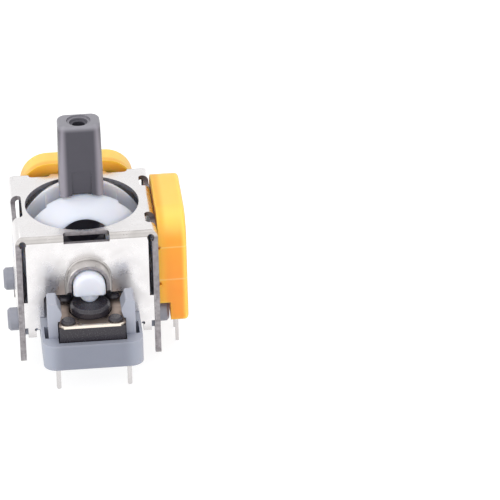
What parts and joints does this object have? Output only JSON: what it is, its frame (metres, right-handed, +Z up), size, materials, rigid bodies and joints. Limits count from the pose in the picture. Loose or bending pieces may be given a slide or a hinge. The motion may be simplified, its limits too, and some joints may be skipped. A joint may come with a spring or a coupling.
{
  "type": "controller analog stick",
  "caption": "Thumb stick module: a spring-centred lever in a folded steel frame turns two rotary potentiometers through crossed rockers and presses a small switch.",
  "frame": {"origin": "on the stick's axis, in the plane of the base's flat underside, which sits on the circuit board", "axes": "+Z up along the stick, +X towards the right-hand potentiometer, +Y away from the press switch towards the rear potentiometer"},
  "size_m": [0.0166, 0.0213, 0.0223],
  "materials": {
    "tinned_steel": "bright tin plate, slightly soft reflections",
    "gray_plastic": "satin moulded plastic",
    "white_plastic": "smooth acetal",
    "dark_plastic": "satin moulded plastic",
    "black_plastic": "satin moulded plastic",
    "orange_plastic": "satin moulded plastic",
    "brown_laminate": "phenolic laminate",
    "nickel_steel": "dull nickel plate",
    "spring_steel": "bare spring steel",
    "tinned_pins": "bright tin plate"
  },
  "bodies": {
    "frame_and_base": {"metal_frame": "tinned_steel", "base": "gray_plastic", "return_spring": "spring_steel", "switch_body": "black_plastic", "switch_cover": "nickel_steel", "switch_dome": "spring_steel", "switch_terminals": "tinned_pins", "pot_x_housing": "orange_plastic", "pot_x_board": "brown_laminate", "pot_x_terminals": "tinned_pins", "pot_y_housing": "orange_plastic", "pot_y_board": "brown_laminate", "pot_y_terminals": "tinned_pins"},
    "upper_rocker": {"arch": "white_plastic", "pot_x_rotor": "white_plastic", "pot_x_wiper": "spring_steel"},
    "side_rotor": {"pot_y_rotor": "white_plastic", "pot_y_wiper": "spring_steel"},
    "lower_rocker": {"lower_rocker": "white_plastic"},
    "lever": {"lever": "dark_plastic"},
    "spring_plate": {"spring_plate": "white_plastic"},
    "switch_button": {"switch_button": "black_plastic"}
  },
  "joints": [
    {"name": "tilt_side", "type": "hinge", "parent": "frame_and_base", "child": "side_rotor", "pos_m": [0, 0.0067, 0.0063], "axis": [0, 1, 0], "range_deg": [-20, 20], "stiffness_Nm_per_rad": 0.005},
    {"name": "press", "type": "hinge", "parent": "side_rotor", "child": "lower_rocker", "pos_m": [0, 0.0067, 0.0063], "axis": [1, 0, 0], "range_deg": [0, 1.12], "stiffness_Nm_per_rad": 0.005},
    {"name": "tilt_front", "type": "hinge", "parent": "lower_rocker", "child": "lever", "pos_m": [0, 0, 0.0063], "axis": [1, 0, 0], "range_deg": [-20, 20], "stiffness_Nm_per_rad": 0.005},
    {"name": "upper_rocker_tilt", "type": "hinge", "parent": "frame_and_base", "child": "upper_rocker", "pos_m": [0, 0, 0.0063], "axis": [1, 0, 0], "range_deg": [-20, 20]},
    {"name": "button_travel", "type": "slide", "parent": "frame_and_base", "child": "switch_button", "axis": [0, 0, -1], "range_m": [0, 0.0003], "stiffness_N_per_m": 1000, "deforming": ["switch_dome"]},
    {"name": "plate_travel", "type": "slide", "parent": "frame_and_base", "child": "spring_plate", "axis": [0, 0, -1], "range_m": [0, 0.000131], "stiffness_N_per_m": 2, "deforming": ["return_spring"]}
  ],
  "couplings": [
    {"joint": "upper_rocker_tilt", "follows": "tilt_front", "ratio": 1},
    {"joint": "press", "follows": "button_travel", "rad_per_m": 64.9},
    {"joint": "plate_travel", "follows": "button_travel", "ratio": 0.435}
  ]
}
